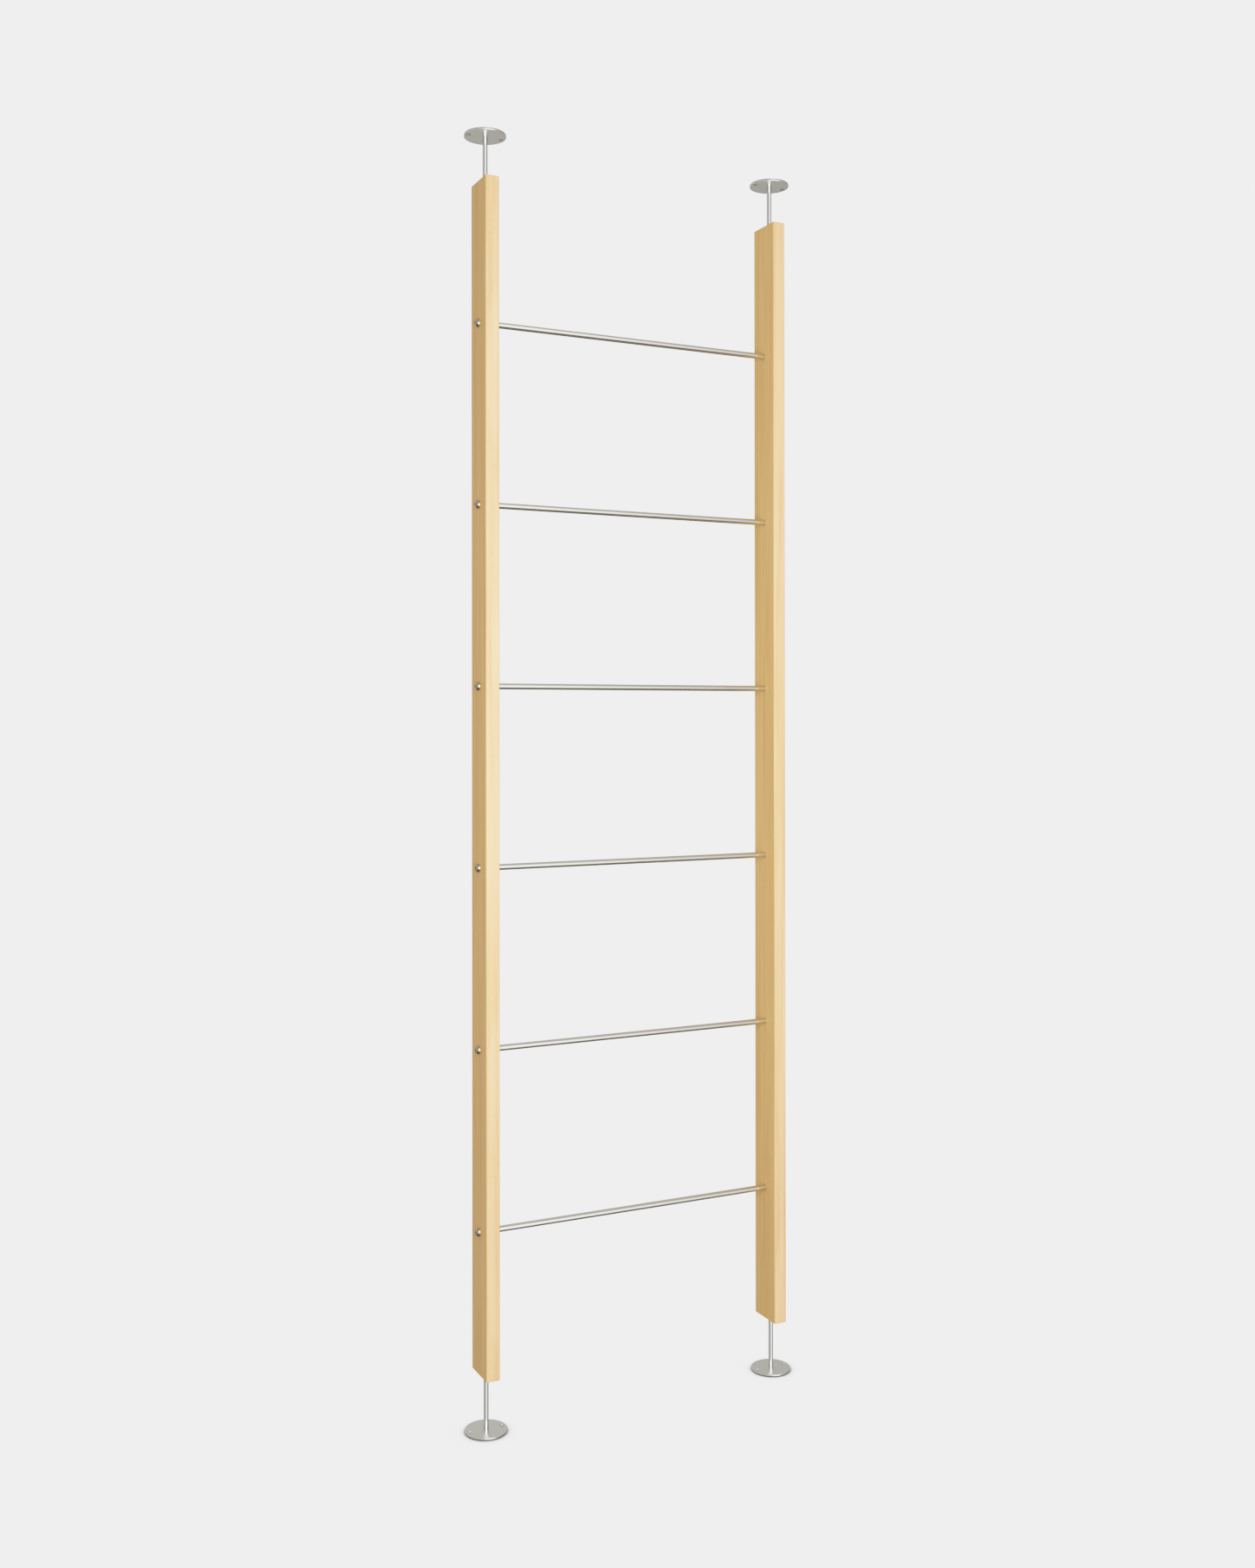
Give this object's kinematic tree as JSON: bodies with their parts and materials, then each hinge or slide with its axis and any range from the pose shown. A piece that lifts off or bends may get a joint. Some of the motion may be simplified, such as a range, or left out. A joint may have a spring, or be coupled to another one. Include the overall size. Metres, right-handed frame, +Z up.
{
  "type": "ladder frame",
  "caption": "Floor-to-ceiling oak ladder frame with round stainless rungs between flat posts, and screw-jack rod feet with swivelling round discs top and bottom.",
  "frame": {"origin": "on the floor, under the middle of the ladder: midway between the posts and at half their depth", "axes": "+Z up along the posts, +X across the ladder from the left post to the right one, +Y through the ladder, away from the viewer"},
  "size_m": [0.722, 0.082, 2.5],
  "materials": {
    "oak": "clear matt lacquered light oak, straight grain along the post",
    "polished_rung": "bright ground stainless steel",
    "polished_screw": "polished stainless steel",
    "polished_rod": "polished stainless steel",
    "satin_disc": "satin stainless steel, face turned",
    "plated_screw": "zinc-plated steel",
    "brass_insert": "plain machined brass",
    "nylon_bush": "natural nylon",
    "rubber_pad": "matt black sheet rubber"
  },
  "bodies": {
    "ladder": {"left_post": "oak", "right_post": "oak", "rung_1": "polished_rung", "rung_2": "polished_rung", "rung_3": "polished_rung", "rung_4": "polished_rung", "rung_5": "polished_rung", "rung_6": "polished_rung", "rung_screw_left_1": "polished_screw", "rung_screw_left_2": "polished_screw", "rung_screw_left_3": "polished_screw", "rung_screw_left_4": "polished_screw", "rung_screw_left_5": "polished_screw", "rung_screw_left_6": "polished_screw", "rung_screw_right_1": "polished_screw", "rung_screw_right_2": "polished_screw", "rung_screw_right_3": "polished_screw", "rung_screw_right_4": "polished_screw", "rung_screw_right_5": "polished_screw", "rung_screw_right_6": "polished_screw", "thread_insert_upper_left": "brass_insert", "thread_insert_upper_right": "brass_insert", "thread_insert_lower_left": "brass_insert", "thread_insert_lower_right": "brass_insert", "guide_bush_upper_left": "nylon_bush", "guide_bush_upper_right": "nylon_bush", "guide_bush_lower_left": "nylon_bush", "guide_bush_lower_right": "nylon_bush"},
    "upper_left_disc": {"foot_disc_upper_left": "satin_disc", "foot_pad_upper_left": "rubber_pad"},
    "upper_left_rod": {"foot_rod_upper_left": "polished_rod", "swivel_screw_upper_left": "plated_screw"},
    "upper_right_disc": {"foot_disc_upper_right": "satin_disc", "foot_pad_upper_right": "rubber_pad"},
    "upper_right_rod": {"foot_rod_upper_right": "polished_rod", "swivel_screw_upper_right": "plated_screw"},
    "lower_left_disc": {"foot_disc_lower_left": "satin_disc", "foot_pad_lower_left": "rubber_pad"},
    "lower_left_rod": {"foot_rod_lower_left": "polished_rod", "swivel_screw_lower_left": "plated_screw"},
    "lower_right_disc": {"foot_disc_lower_right": "satin_disc", "foot_pad_lower_right": "rubber_pad"},
    "lower_right_rod": {"foot_rod_lower_right": "polished_rod", "swivel_screw_lower_right": "plated_screw"}
  },
  "joints": [
    {"name": "upper_left_rod_turn", "type": "hinge", "parent": "upper_left_disc", "child": "upper_left_rod", "pos_m": [-0.32, 0, 2.4955], "axis": [0, 0, 1], "range_deg": [-9600, 4800]},
    {"name": "upper_left_disc_travel", "type": "slide", "parent": "ladder", "child": "upper_left_disc", "axis": [0, 0, 1], "range_m": [-0.04, 0.02]},
    {"name": "upper_right_rod_turn", "type": "hinge", "parent": "upper_right_disc", "child": "upper_right_rod", "pos_m": [0.32, 0, 2.4955], "axis": [0, 0, 1], "range_deg": [-9600, 4800]},
    {"name": "upper_right_disc_travel", "type": "slide", "parent": "ladder", "child": "upper_right_disc", "axis": [0, 0, 1], "range_m": [-0.04, 0.02]},
    {"name": "lower_left_rod_turn", "type": "hinge", "parent": "lower_left_disc", "child": "lower_left_rod", "pos_m": [-0.32, 0, 0.0045], "axis": [0, 0, -1], "range_deg": [-14400, 0]},
    {"name": "lower_left_disc_travel", "type": "slide", "parent": "ladder", "child": "lower_left_disc", "axis": [0, 0, -1], "range_m": [-0.06, 0]},
    {"name": "lower_right_rod_turn", "type": "hinge", "parent": "lower_right_disc", "child": "lower_right_rod", "pos_m": [0.32, 0, 0.0045], "axis": [0, 0, -1], "range_deg": [-14400, 0]},
    {"name": "lower_right_disc_travel", "type": "slide", "parent": "ladder", "child": "lower_right_disc", "axis": [0, 0, -1], "range_m": [-0.06, 0]}
  ],
  "couplings": [
    {"joint": "upper_left_disc_travel", "follows": "upper_left_rod_turn", "m_per_rad": 0.00023873},
    {"joint": "upper_right_disc_travel", "follows": "upper_right_rod_turn", "m_per_rad": 0.00023873},
    {"joint": "lower_left_disc_travel", "follows": "lower_left_rod_turn", "m_per_rad": 0.00023873},
    {"joint": "lower_right_disc_travel", "follows": "lower_right_rod_turn", "m_per_rad": 0.00023873}
  ]
}
